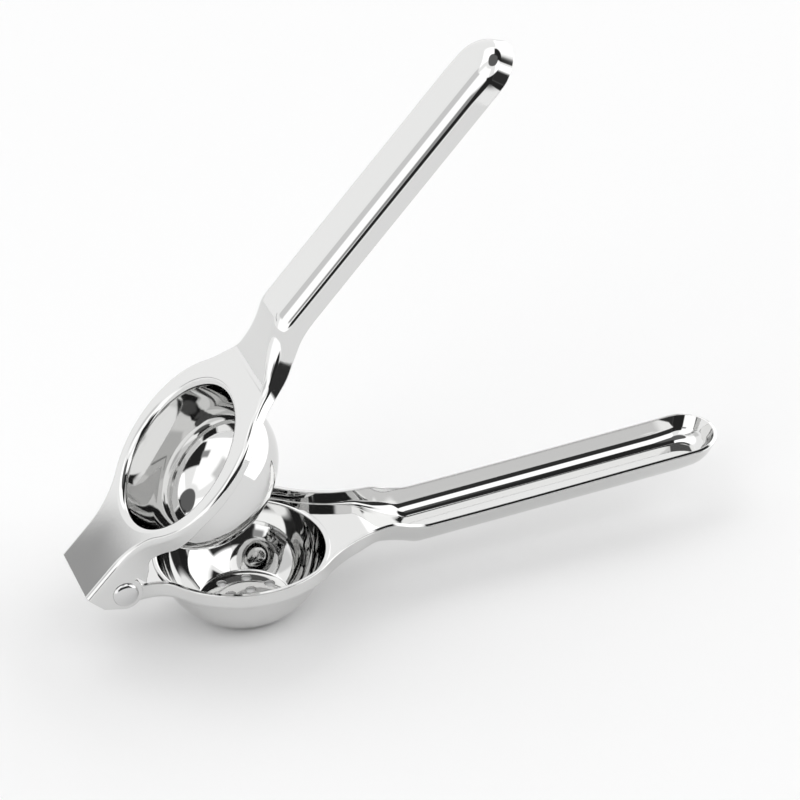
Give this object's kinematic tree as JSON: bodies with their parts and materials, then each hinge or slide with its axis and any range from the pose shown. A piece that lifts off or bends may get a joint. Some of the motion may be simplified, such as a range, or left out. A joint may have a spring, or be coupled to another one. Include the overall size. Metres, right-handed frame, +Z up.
{
  "type": "hinged lemon squeezer",
  "caption": "Hinged citrus squeezer with a press cup on the upper arm, a strainer bowl on the lower arm and long channel handles, all in polished sheet steel.",
  "frame": {"origin": "centre of the flat underside of the strainer bowl's floor", "axes": "+X from the hinge towards the handle tips along the lower arm, +Y along the hinge pin to its peened end, +Z up, square to the lower arm's ring"},
  "size_m": [0.2498, 0.0708, 0.2089],
  "materials": {
    "polished_steel": "mirror polished",
    "rivet_steel": "polished",
    "plain_steel": "plain"
  },
  "bodies": {
    "lower": {"lower_arm": "polished_steel", "strainer_bowl": "polished_steel", "hinge_sleeve": "plain_steel"},
    "upper": {"upper_arm": "polished_steel", "press_cup": "polished_steel", "hinge_rivet": "rivet_steel", "rivet_set_washer": "rivet_steel", "hinge_washers": "plain_steel"}
  },
  "joints": [
    {"name": "hinge", "type": "hinge", "parent": "lower", "child": "upper", "pos_m": [-0.048, 0, 0.0271], "axis": [0, -1, 0], "range_deg": [-45.5, 60]}
  ]
}
